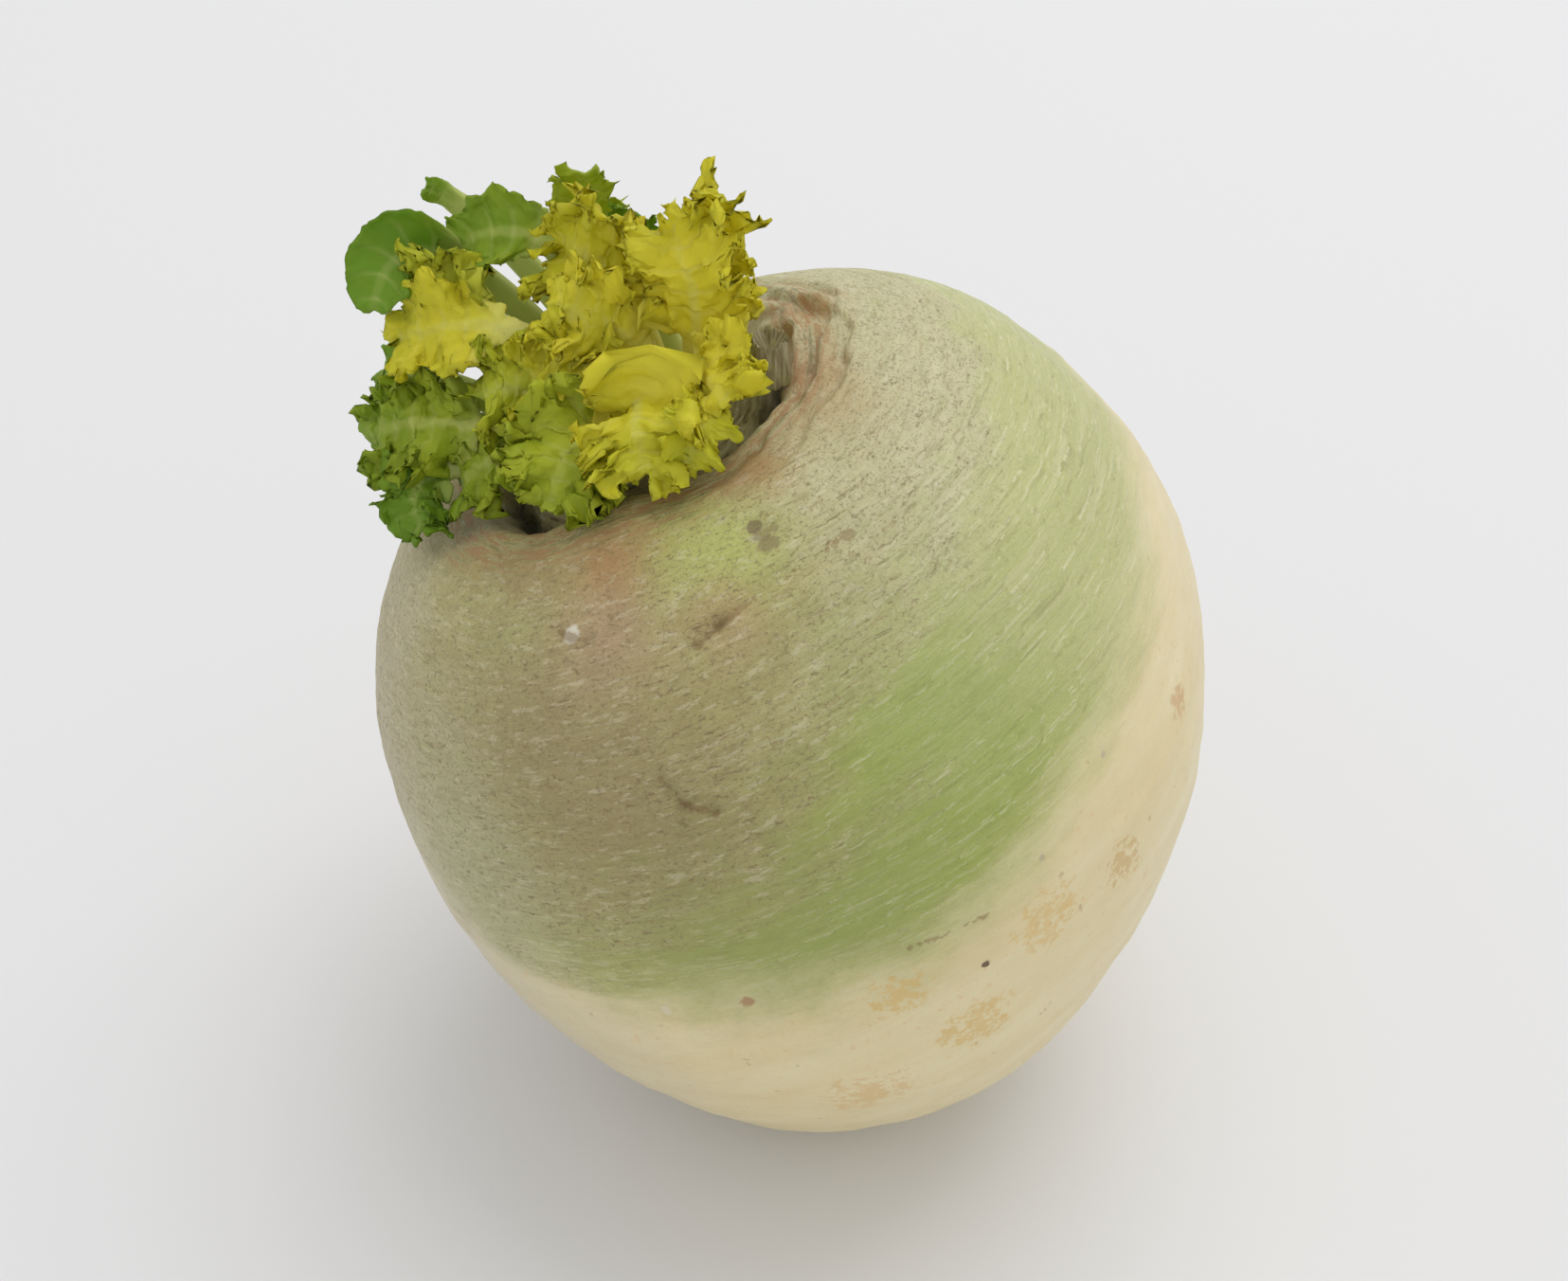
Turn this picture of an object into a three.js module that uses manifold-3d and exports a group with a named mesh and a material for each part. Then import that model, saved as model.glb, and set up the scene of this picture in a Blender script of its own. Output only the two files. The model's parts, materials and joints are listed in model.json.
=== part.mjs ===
// A round green radish leaning on its blunt white end, with its tuft of young leaves.
// Millimetres, +Z up, origin in the middle of the small flat it rests on.
import * as THREE from "three";
import { mergeVertices } from "three/addons/utils/BufferGeometryUtils.js";
import Module from "manifold-3d";

const wasm = await Module();
wasm.setup();

// Bulb
const LEAN_DEG = 26; // how far the bulb's own axis tips towards -X
const LEAN_BACK_DEG = 4; // and towards +Y
const FLAT_DEPTH = 1.9; // how much of the underside the resting flat takes off
const CROWN_HEIGHT = 53; // from the bulb's middle up its axis to the crown
const TAIL_SWAY = [-5, -2.2]; // how far the lower end bends aside, 48 mm below the middle
const BULB_AROUND = 60;
const BULB_ALONG = 38;
// radius, then height along the axis, from the trimmed tap root to the middle of the crown
const BULB_PROFILE = [
  [0, -67.5],
  [2.4, -67.3],
  [3.1, -65.6],
  [5.5, -64.4],
  [13, -62.3],
  [21.5, -58.8],
  [29.5, -53.4],
  [37.5, -45.4],
  [48, -30.5],
  [54.8, -15],
  [57.5, -1],
  [56.6, 14],
  [52.3, 29],
  [46.5, 39.5],
  [40, 46.4],
  [34, 50.6],
  [29, 52.3],
  [25, 52.9],
  [22.4, 52.6],
  [20, 50.2],
  [18, 49.9],
  [15.5, 51.4],
  [11, 52.6],
  [6, 53],
  [0, 53.1],
];

// Leaves
const LEAF_ALONG = 12;
const LEAF_ACROSS = 4;
const BLADE_THICK = 0.55;
const STALK_THICK = 2.2;
const TIP_HALF_WIDTH = 0.7;
const CLEARANCE = 0.3; // between a leaf and whatever it lies against

// Each leaf runs from foot over knee to tip, in the bulb's own frame with the crown at height 0.
// face: the way its upper side looks; wide: half its breadth; stalk: share of its length;
// cup: how far its edges curl up, in radians; frill: depth of the wavy edge; waves: how many.
// The ones listed first lie on top, and the later ones give way where two would meet.
const LEAVES = [
  {
    name: "leaf_front_frill",
    path: [[-1, -7, -1], [2, -19, 15], [-9, -26, 3]],
    face: [-0.1, -0.9, 0.4],
    shape: { wide: 8, stalk: 0.3, cup: -0.4, frill: 0.9, waves: 3.5 },
    colour: 0x8d9430,
  },
  {
    name: "leaf_front_yellow",
    path: [[4, -6, -1], [10, -22, 19], [6, -26, 5]],
    face: [0.1, -0.9, 0.4],
    shape: { wide: 8, stalk: 0.3, cup: -0.3, frill: 0.8, waves: 3 },
    colour: 0xc4b534,
  },
  {
    name: "leaf_hanging_narrow",
    path: [[9, -5, -1], [20, -24, 13], [11, -25, 3]],
    face: [0.6, -0.7, 0.4],
    shape: { wide: 3.4, stalk: 0.35, cup: 0.9, frill: 0.3, waves: 3 },
    colour: 0xb9ad35,
  },
  {
    name: "leaf_right_star",
    path: [[10, -2, -1], [19, -18, 15], [22, -21, 7]],
    face: [0.1, -0.8, 0.6],
    shape: { wide: 7, stalk: 0.4, cup: -0.3, frill: 0.8, waves: 3 },
    colour: 0xd0c03c,
  },
  {
    name: "leaf_centre_spoon",
    path: [[1, -4, -1], [-3, -12, 14], [-8, -6, 15]],
    face: [-0.3, -0.8, 0.5],
    shape: { wide: 5, stalk: 0.45, cup: 0.5, frill: 0.4, waves: 2.5 },
    colour: 0xb8ae38,
  },
  {
    name: "leaf_centre_heart",
    path: [[3, -2, -1], [5, -13, 17], [-3, -8, 16]],
    face: [0, -0.8, 0.6],
    shape: { wide: 5, stalk: 0.4, cup: 0.4, frill: 0.5, waves: 2.5 },
    colour: 0xc8bc3a,
  },
  {
    name: "leaf_middle_ruffle",
    path: [[-4, -3, -1], [-7, -11, 20], [-15, -6, 14]],
    face: [-0.2, -0.7, 0.7],
    shape: { wide: 6, stalk: 0.4, cup: -0.4, frill: 0.8, waves: 3 },
    colour: 0xa8a832,
  },
  {
    name: "leaf_left_arch",
    path: [[-5, -5, -1], [-14, -13, 12], [-24, -8, 4]],
    face: [-0.2, -0.5, 0.8],
    shape: { wide: 4.5, stalk: 0.4, cup: -0.4, frill: 0.5, waves: 2.5 },
    colour: 0x94982e,
  },
  {
    name: "leaf_left_curl",
    path: [[-9, -4, -1], [-32, -4, 13], [-31, -11, 2]],
    face: [-0.3, -0.7, 0.6],
    shape: { wide: 4.2, stalk: 0.45, cup: 0.5, frill: 0.5, waves: 2.5 },
    colour: 0x6d8420,
  },
  {
    name: "leaf_left_big",
    path: [[-8, -1, -1], [-20, -11, 20], [-37, 4, 13]],
    face: [-0.1, -0.7, 0.7],
    shape: { wide: 8, stalk: 0.35, cup: -0.3, frill: 0.9, waves: 3.5 },
    colour: 0x7d942a,
  },
  {
    name: "leaf_left_thorn",
    path: [[-9, 2, -1], [-26, 5, 19], [-32, 12, 16]],
    face: [0, -0.6, 0.8],
    shape: { wide: 2.8, stalk: 0.5, cup: 0.3, frill: 0.4, waves: 2 },
    colour: 0x6f8a26,
  },
  {
    name: "leaf_left_skirt",
    path: [[-6, 4, -1], [-15, -4, 28], [-29, 10, 18]],
    face: [-0.2, -0.8, 0.6],
    shape: { wide: 7.5, stalk: 0.4, cup: -0.4, frill: 0.8, waves: 3 },
    colour: 0xa3ac30,
  },
  {
    name: "leaf_left_spoon",
    path: [[-1, 2, -1], [-2, -5, 27], [-22, 5, 26]],
    face: [0.1, -0.7, 0.7],
    shape: { wide: 7.5, stalk: 0.4, cup: 0.5, frill: 0.4, waves: 3 },
    colour: 0xbdb234,
  },
  {
    name: "leaf_centre_fan",
    path: [[5, 1, -1], [14, -13, 15], [3, -4, 21]],
    face: [-0.1, -0.9, 0.5],
    shape: { wide: 7, stalk: 0.45, cup: 0.4, frill: 0.7, waves: 3 },
    colour: 0xc9bd3c,
  },
  {
    name: "leaf_right_bright",
    path: [[8, 1, -1], [21, -16, 13], [22, -5, 27]],
    face: [-0.3, -1, 0.2],
    shape: { wide: 8.5, stalk: 0.4, cup: 0.4, frill: 0.7, waves: 3 },
    colour: 0xcfc23a,
  },
  {
    name: "leaf_right_tall",
    path: [[12, 4, -1], [23, -1, 9], [28, -2, 27]],
    face: [-0.7, -0.7, 0.2],
    shape: { wide: 6, stalk: 0.4, cup: 0.5, frill: 0.7, waves: 3 },
    colour: 0xd3c745,
  },
  {
    name: "leaf_crinkled",
    path: [[4, 5, -1], [12, -3, 22], [2, 6, 26]],
    face: [-0.2, -0.9, 0.4],
    shape: { wide: 7.5, stalk: 0.4, cup: 0.3, frill: 1, waves: 4 },
    colour: 0xb5b334,
  },
  {
    name: "leaf_dark_tips",
    path: [[7, 9, -1], [6, 16, 15], [13, 8, 23]],
    face: [-0.2, -1, 0.1],
    shape: { wide: 4, stalk: 0.5, cup: 0.4, frill: 0.5, waves: 2 },
    colour: 0x7f9636,
  },
  {
    name: "leaf_pale_top",
    path: [[3, 11, -1], [2, 22, 18], [7, 16, 29]],
    face: [-0.2, -1, 0.1],
    shape: { wide: 3.8, stalk: 0.5, cup: 0.4, frill: 0.4, waves: 2 },
    colour: 0xbfc680,
  },
  {
    name: "leaf_back_broad",
    path: [[1, 9, -1], [6, 8, 36], [-16, 11, 30]],
    face: [0, -0.8, 0.6],
    shape: { wide: 5.5, stalk: 0.5, cup: 0.4, frill: 0.4, waves: 2.5 },
    colour: 0x7f9824,
  },
  {
    name: "leaf_round_green",
    path: [[-4, 6, -1], [-14, 17, 42], [-25, 4, 28]],
    face: [-0.2, -0.9, 0.4],
    shape: { wide: 6.5, stalk: 0.45, cup: 0.6, frill: 0.1, waves: 1 },
    colour: 0x7e9c4a,
  },
  {
    name: "stalk_torn",
    path: [[-2, 11, -1], [-9, 22, 28], [-15, 20, 35]],
    face: [0, -1, 0.2],
    shape: { wide: 1.9, stalk: 0.8, cup: 0.3, frill: 0.1, waves: 1 },
    colour: 0x8a9c3a,
  },
];

// Dried stump of an older leaf, standing in the furrow round the crown
const STUMP = { x: 20, y: -6, radius: 2.6, height: 6, leanDeg: 25 };

const matte = (colour, roughness) =>
  new THREE.MeshStandardMaterial({ color: colour, roughness, metalness: 0 });

function bare(geometry) {
  const g = geometry.clone();
  g.deleteAttribute("normal");
  g.deleteAttribute("uv");
  return mergeVertices(g, 1e-4);
}

function solidOf(geometry) {
  const g = bare(geometry);
  return new wasm.Manifold(
    new wasm.Mesh({
      numProp: 3,
      vertProperties: new Float32Array(g.attributes.position.array),
      triVerts: new Uint32Array(g.index.array),
    }),
  );
}

function geometryOf(solid) {
  const mesh = solid.getMesh();
  const g = new THREE.BufferGeometry();
  g.setAttribute("position", new THREE.BufferAttribute(mesh.vertProperties, 3));
  g.setIndex(new THREE.BufferAttribute(mesh.triVerts, 1));
  g.computeVertexNormals();
  return g;
}

// Slow swells of the flesh, and the folds that run round the crown
function swell(angle, height) {
  const body =
    0.7 * Math.sin(2 * angle + 0.7 + height * 0.02) +
    0.45 * Math.sin(3 * angle - 1.1 + height * 0.05) +
    0.25 * Math.sin(5 * angle + height * 0.11);
  return body;
}

function crownFold(angle, radius) {
  const ring = Math.exp(-(((radius - 25) / 6) ** 2));
  const furrow = Math.exp(-(((radius - 19) / 3) ** 2));
  return (
    ring * (0.8 * Math.sin(3 * angle + 0.5) + 0.4 * Math.sin(7 * angle)) +
    furrow * 0.6 * Math.sin(4 * angle + 2)
  );
}

// The whole bulb about its own axis, grown outwards by `grow`
function bulbGeometry(grow) {
  const curve = new THREE.SplineCurve(
    BULB_PROFILE.map(([r, h]) => new THREE.Vector2(r, h)),
  );
  const points = curve.getSpacedPoints(BULB_ALONG).map((p, i, all) => {
    const before = all[Math.max(i - 1, 0)];
    const after = all[Math.min(i + 1, all.length - 1)];
    const run = new THREE.Vector2().subVectors(after, before).normalize();
    const end = i === 0 || i === all.length - 1;
    const r = end ? 0 : Math.max(p.x + grow * run.y, 0.2);
    return new THREE.Vector2(r, p.y - grow * run.x);
  });
  const g = new THREE.LatheGeometry(points, BULB_AROUND);
  g.rotateX(Math.PI / 2);
  const pos = g.attributes.position;
  for (let i = 0; i < pos.count; i++) {
    const x = pos.getX(i);
    const y = pos.getY(i);
    const z = pos.getZ(i);
    const radius = Math.hypot(x, y);
    const angle = Math.atan2(y, x);
    const amount = swell(angle, z) * Math.min(radius / 40, 1);
    const scale = radius > 0.01 ? (radius + amount) / radius : 1;
    const lift = z > 40 ? crownFold(angle, radius) : 0;
    const sway = (Math.max(-z, 0) / 48) ** 1.5;
    pos.setXYZ(i, x * scale + TAIL_SWAY[0] * sway, y * scale + TAIL_SWAY[1] * sway, z + lift);
  }
  return g;
}

// Half the breadth of a leaf at a share `t` of its length
function halfBreadth(shape, t) {
  const b = THREE.MathUtils.clamp((t - shape.stalk) / (1 - shape.stalk), 0, 1);
  const stalk = 1.5 + 0.6 * (1 - t);
  const round = Math.sin(Math.PI * b ** 0.85) ** 0.6;
  const lobes = 1 - 0.22 * (1 - b) * (0.5 + 0.5 * Math.cos(14 * b));
  const tail = THREE.MathUtils.lerp(stalk, TIP_HALF_WIDTH, b);
  return tail + Math.max(shape.wide - tail, 0) * round * lobes;
}

// A box bent into a leaf: its length along the path, its breadth across, its depth the blade
function leafGeometry(leaf, grow) {
  const { path, shape } = leaf;
  const [foot, knee, tip] = path.map((p) => new THREE.Vector3(...p));
  const curve = new THREE.QuadraticBezierCurve3(foot, knee, tip);
  const face = new THREE.Vector3(...leaf.face);
  const g = new THREE.BoxGeometry(2, 1, 1, LEAF_ACROSS, LEAF_ALONG, 1);
  const pos = g.attributes.position;
  for (let i = 0; i < pos.count; i++) {
    const v = pos.getX(i);
    const u = pos.getY(i) + 0.5;
    const side = pos.getZ(i);
    const t = u * (1.3 - 0.3 * u);
    const half = halfBreadth(shape, t);
    const blade = THREE.MathUtils.smoothstep(t, shape.stalk - 0.1, shape.stalk + 0.25);
    const bend = shape.cup / shape.wide;
    const x = v * (half + grow);
    const across = Math.sin(bend * x) / bend;
    const curl = (1 - Math.cos(bend * x)) / bend;
    const wave = Math.sin(2 * Math.PI * shape.waves * t + (v > 0 ? 1.4 : 0));
    const frill = shape.frill * v * v * blade * wave;
    const stalk = STALK_THICK * Math.sqrt(1 - 0.85 * v * v);
    const rib = 1 + 1.2 * Math.exp(-((x / 1.2) ** 2)) * (1 - t);
    const thick = THREE.MathUtils.lerp(stalk, BLADE_THICK * rib, blade) + 2 * grow;
    const along = curve.getTangent(t);
    const sideways = new THREE.Vector3().crossVectors(along, face).normalize();
    const up = new THREE.Vector3().crossVectors(sideways, along);
    const p = curve
      .getPoint(t)
      .addScaledVector(along, grow * (2 * u - 1))
      .addScaledVector(sideways, across)
      .addScaledVector(up, curl + frill + thick * side);
    pos.setXYZ(i, p.x, p.y, p.z);
  }
  return g;
}

function largest(solid) {
  return solid.decompose().reduce((a, b) => (a.volume() > b.volume() ? a : b));
}

function stumpGeometry(grow) {
  const { radius, height } = STUMP;
  const g = new THREE.CylinderGeometry(
    0.8 * radius + grow,
    radius + grow,
    height + 2 * grow,
    16,
    3,
  );
  g.rotateX(Math.PI / 2);
  const pos = g.attributes.position;
  for (let i = 0; i < pos.count; i++) {
    const angle = Math.atan2(pos.getY(i), pos.getX(i));
    const fray = pos.getZ(i) > 0.3 * height ? 0.7 * Math.sin(3 * angle + 1) : 0;
    pos.setXYZ(i, pos.getX(i), 1.3 * pos.getY(i), pos.getZ(i) + fray);
  }
  g.rotateY(THREE.MathUtils.degToRad(STUMP.leanDeg));
  g.translate(STUMP.x, STUMP.y, 0.5);
  return g;
}

// The bulb, leaned over and set down on its flat
const lean = new THREE.Matrix4()
  .makeRotationX(-THREE.MathUtils.degToRad(LEAN_BACK_DEG))
  .multiply(new THREE.Matrix4().makeRotationY(-THREE.MathUtils.degToRad(LEAN_DEG)));
const upright = bulbGeometry(0);
const leaned = upright.clone().applyMatrix4(lean);
leaned.computeBoundingBox();
const cutHeight = leaned.boundingBox.min.z + FLAT_DEPTH;
const cut = solidOf(leaned).trimByPlane([0, 0, 1], cutHeight);
const flat = new THREE.Box3();
const cutMesh = cut.getMesh();
for (let i = 0; i < cutMesh.numVert; i++) {
  const p = new THREE.Vector3().fromArray(cutMesh.vertProperties, 3 * i);
  if (Math.abs(p.z - cutHeight) < 1e-3) flat.expandByPoint(p);
}
const footing = flat.getCenter(new THREE.Vector3());
const bulb = new THREE.Mesh(
  geometryOf(cut.translate([-footing.x, -footing.y, -cutHeight])),
  matte(0xc9c590, 0.5),
);
bulb.name = "root";

const radish = new THREE.Group();
radish.name = "green_radish";
radish.add(bulb);

// The crown's frame: its height 0 sits on the bulb's axis
const crown = new THREE.Group();
crown.applyMatrix4(
  new THREE.Matrix4()
    .makeTranslation(-footing.x, -footing.y, -cutHeight)
    .multiply(lean)
    .multiply(new THREE.Matrix4().makeTranslation(0, 0, CROWN_HEIGHT)),
);
radish.add(crown);

const bulbRoom = solidOf(bulbGeometry(CLEARANCE)).translate([0, 0, -CROWN_HEIGHT]);
const taken = [{ room: solidOf(stumpGeometry(CLEARANCE)) }];
const stump = new THREE.Mesh(
  geometryOf(largest(solidOf(stumpGeometry(0)).subtract(bulbRoom))),
  matte(0x8f8460, 0.9),
);
stump.name = "stalk_old_stump";
crown.add(stump);

for (const leaf of LEAVES) {
  let solid = solidOf(leafGeometry(leaf, 0)).subtract(bulbRoom);
  for (const other of taken) {
    solid = solid.subtract(other.room);
  }
  taken.push({ room: solidOf(leafGeometry(leaf, CLEARANCE)) });
  const mesh = new THREE.Mesh(geometryOf(largest(solid)), matte(leaf.colour, 0.6));
  mesh.name = leaf.name;
  crown.add(mesh);
}

export default radish;
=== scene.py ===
import json
import math
import bpy
import numpy as np
from mathutils import Matrix, Vector, noise


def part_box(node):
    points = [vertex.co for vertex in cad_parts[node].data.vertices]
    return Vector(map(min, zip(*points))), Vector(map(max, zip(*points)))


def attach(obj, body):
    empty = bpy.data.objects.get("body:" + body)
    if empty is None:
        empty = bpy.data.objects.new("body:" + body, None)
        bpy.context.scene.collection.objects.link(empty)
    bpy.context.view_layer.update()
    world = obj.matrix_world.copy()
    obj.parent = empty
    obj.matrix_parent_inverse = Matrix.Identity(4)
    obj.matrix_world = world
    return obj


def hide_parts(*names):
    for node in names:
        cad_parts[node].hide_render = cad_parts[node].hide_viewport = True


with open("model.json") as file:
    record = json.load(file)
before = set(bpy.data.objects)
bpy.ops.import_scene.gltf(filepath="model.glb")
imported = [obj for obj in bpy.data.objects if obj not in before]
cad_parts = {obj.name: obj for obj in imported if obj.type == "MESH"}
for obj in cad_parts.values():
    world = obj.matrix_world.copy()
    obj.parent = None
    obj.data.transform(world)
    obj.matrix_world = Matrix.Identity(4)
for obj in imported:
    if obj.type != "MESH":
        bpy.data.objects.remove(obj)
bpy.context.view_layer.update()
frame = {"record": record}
millimetre = 0.001


# one arithmetic for shader and geometry node trees: an expression adds its maths nodes
class Sock:
    def __init__(self, tree, out):
        self.tree = tree
        self.out = out

    @property
    def isVector(self):
        return self.out.type in ("VECTOR", "RGBA")

    def calc(self, op, *values):
        if any(isinstance(v, tuple) or isinstance(v, Sock) and v.isVector for v in values):
            return add(self.tree, "ShaderNodeVectorMath", {"operation": op}, [spread(v) for v in values])
        return add(self.tree, "ShaderNodeMath", {"operation": op}, values)

    def __add__(self, o):
        return self.calc("ADD", self, o)

    def __radd__(self, o):
        return self.calc("ADD", o, self)

    def __sub__(self, o):
        return self.calc("SUBTRACT", self, o)

    def __rsub__(self, o):
        return self.calc("SUBTRACT", o, self)

    def __mul__(self, o):
        return self.calc("MULTIPLY", self, o)

    def __rmul__(self, o):
        return self.calc("MULTIPLY", o, self)

    def __truediv__(self, o):
        return self.calc("DIVIDE", self, o)

    def __pow__(self, o):
        return self.calc("POWER", self, o)

    def __rpow__(self, o):
        return self.calc("POWER", o, self)

    def __neg__(self):
        return self.calc("MULTIPLY", self, -1.0)

    def sin(self):
        return self.calc("SINE", self)

    def cos(self):
        return self.calc("COSINE", self)

    def abs(self):
        return self.calc("ABSOLUTE", self)

    def sign(self):
        return self.calc("SIGN", self)

    def wrap(self):
        return self.calc("FRACT", self)

    def least(self, o):
        return self.calc("MAXIMUM", self, o)

    def most(self, o):
        return self.calc("MINIMUM", self, o)

    def dot(self, o):
        return add(self.tree, "ShaderNodeVectorMath", {"operation": "DOT_PRODUCT"}, [self, o])

    def cross(self, o):
        return add(self.tree, "ShaderNodeVectorMath", {"operation": "CROSS_PRODUCT"}, [self, o])

    def unit(self):
        return add(self.tree, "ShaderNodeVectorMath", {"operation": "NORMALIZE"}, [self])

    def size(self):
        return add(self.tree, "ShaderNodeVectorMath", {"operation": "LENGTH"}, [self])

    def bell(self, width):
        return 2.718 ** (-(self / width) * (self / width))

    def held(self):
        return self.least(0.0).most(1.0)

    # 0 below low, 1 above high
    def ramp(self, low, high):
        eased = {"interpolation_type": "SMOOTHSTEP"}
        return add(self.tree, "ShaderNodeMapRange", eased, [self, low, high])

    def parts(self):
        split = add(self.tree, "ShaderNodeSeparateXYZ", {}, [self])
        return [Sock(self.tree, o) for o in split.out.node.outputs]

    # colour a where self is 0, colour b where it is 1
    def blend(self, a, b):
        return add(self.tree, "ShaderNodeMix", {"data_type": "RGBA"}, {0: self, 6: a, 7: b}, 2)


def spread(value):
    return (value, value, value) if isinstance(value, (int, float)) else value


def plug(tree, place, value):
    if isinstance(value, Sock):
        tree.links.new(value.out, place)
    elif place.type == "RGBA" and len(value) == 3:
        place.default_value = (*value, 1.0)
    else:
        place.default_value = value


# inputs are a dictionary by name or number, or a list for the sockets in use, in order
def add(tree, kind, settings, inputs, output=None):
    node = tree.nodes.new(kind)
    for key, value in settings.items():
        setattr(node, key, value)
    if isinstance(inputs, dict):
        places = [node.inputs[key] for key in inputs]
        values = inputs.values()
    else:
        places = [place for place in node.inputs if place.enabled]
        values = inputs
    for place, value in zip(places, values):
        plug(tree, place, value)
    if output is None:
        outs = [o for o in node.outputs if o.enabled] or [None]
        return Sock(tree, outs[0])
    return Sock(tree, node.outputs[output])


def newMaterial(name):
    m = bpy.data.materials.new(name)
    m.use_nodes = True
    m.node_tree.nodes.clear()
    return m, m.node_tree


def attribute(tree, name, output="Fac"):
    return add(tree, "ShaderNodeAttribute", {"attribute_name": name}, {}, output)


def grain(tree, where, scale, detail=3.0, rough=0.55):
    return add(tree, "ShaderNodeTexNoise", {}, {
        "Vector": where, "Scale": scale, "Detail": detail, "Roughness": rough})


def bumped(tree, height, distance, strength):
    return add(tree, "ShaderNodeBump", {}, {
        "Height": height, "Distance": distance, "Strength": strength})


def finishMaterial(tree, surface):
    add(tree, "ShaderNodeOutputMaterial", {}, {"Surface": surface})


def newPiece(name, verts, faces, attributes, material):
    mesh = bpy.data.meshes.new(name)
    mesh.from_pydata(verts.tolist(), [], faces.tolist())
    for key, value in attributes.items():
        kept = mesh.attributes.new(key, "FLOAT_VECTOR", "POINT")
        kept.data.foreach_set("vector", value.astype(np.float32).ravel())
    mesh.polygons.foreach_set("use_smooth", np.ones(len(mesh.polygons), bool))
    mesh.materials.append(material)
    obj = bpy.data.objects.new(name, mesh)
    bpy.context.scene.collection.objects.link(obj)
    return obj


bulb = {
    "leanDeg": 26,
    "leanBackDeg": 4,
    "crownHeight": 53,
    "widest": 57,
    "around": 360,
    "alongBody": 150,
    "alongCrown": 100,
    "crownStart": 45,
    "tailSway": (-5, -2.2),
    "ridgeDepth": 0.10,
    # x, y, z, width and depth in mm, in the bulb's own frame
    "dents": [
        (16.5, -31.7, 48.8, 2.2, 0.9),
        (-3, -37, 48, 7, 0.7),
        (28, -20, 49, 5, 0.5),
        (9, -36, 47, 6, -0.5),
        (-8.4, -36.7, 48.1, 1.1, -0.9),
        (12.5, -30, 50.6, 1.4, 0.5),
        (2, -34, 50.4, 1.6, 0.6),
        (-14, -33, 49, 2, 0.5),
    ],
    # start, end, width and depth in mm
    "cracks": [
        ((-3.8, -50, 33.4), (-2.4, -51.6, 29.6), 0.8, 0.7),
        ((-2.4, -51.6, 29.6), (0.8, -52.6, 27.8), 0.8, 0.7),
        ((-10, -36, 48.6), (-7, -38, 47.2), 0.9, 0.5),
        ((6, -41.6, 43.6), (9.3, -40.4, 44.1), 0.9, 0.8),
        ((9.3, -40.4, 44.1), (26.6, -32.2, 44.2), 1.2, 0.4),
        ((13.3, -55.6, 0.6), (22.8, -52.5, -1.2), 0.5, 0.3),
    ],
}
# half outline from tail to crown, radius and height in mm about the middle of the bulb
profile = np.array([
    (0, -67.5), (2.4, -67.3), (3.1, -65.6), (5.5, -64.4), (13, -62.3),
    (21.5, -58.8), (29.5, -53.4), (37.5, -45.4), (48, -30.5), (54.8, -15),
    (57.5, -1), (56.6, 14), (52.3, 29), (46.5, 39.5), (40, 46.4), (34, 50.6),
    (29, 52.3), (25, 52.9), (22.8, 52.7), (21.1, 51), (19.9, 48.6),
    (18.7, 48.3), (17, 50.4), (14, 51.9), (10, 52.7), (6, 53), (0, 53.1)])
leanBack = Matrix.Rotation(-math.radians(bulb["leanBackDeg"]), 4, "X")
lean = leanBack @ Matrix.Rotation(-math.radians(bulb["leanDeg"]), 4, "Y")


def splinePoints(control, count):
    padded = np.vstack([2 * control[0] - control[1], control, 2 * control[-1] - control[-2]])
    out = []
    for t in np.linspace(0, len(control) - 1, count):
        i = min(int(t), len(control) - 2)
        f = t - i
        a, b, c, d = padded[i:i + 4]
        out.append(b + 0.5 * f * (c - a + f * (2 * a - 5 * b + 4 * c - d + f * (3 * (b - c) + d - a))))
    return np.array(out)


def evenly(points, count):
    step = np.r_[0, np.cumsum(np.linalg.norm(np.diff(points, axis=0), axis=1))]
    at = np.linspace(0, step[-1], count)
    return np.stack([np.interp(at, step, points[:, 0]), np.interp(at, step, points[:, 1])], 1)


def bell(x, width):
    return np.exp(-(x / width) ** 2)


def cloud(points, size, seed, octaves=3):
    shift = Vector((seed * 17.3, seed * 5.1, seed * 9.7))
    return np.array([noise.fractal(Vector(p) / size + shift, 1.0, 2.0, octaves) for p in points])


# faces of a stack of rings, with its low and high poles as the last two points
def closedRings(rings, around):
    here = np.arange(rings * around).reshape(rings, around)
    beside = np.roll(here, -1, 1)
    faces = np.stack([here[:-1], beside[:-1], beside[1:], here[1:]], -1).reshape(-1, 4).tolist()
    low, high = rings * around, rings * around + 1
    faces += [(low, b, a) for a, b in zip(here[0], beside[0])]
    faces += [(high, a, b) for a, b in zip(here[-1], beside[-1])]
    return np.array(faces, dtype=object)


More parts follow.
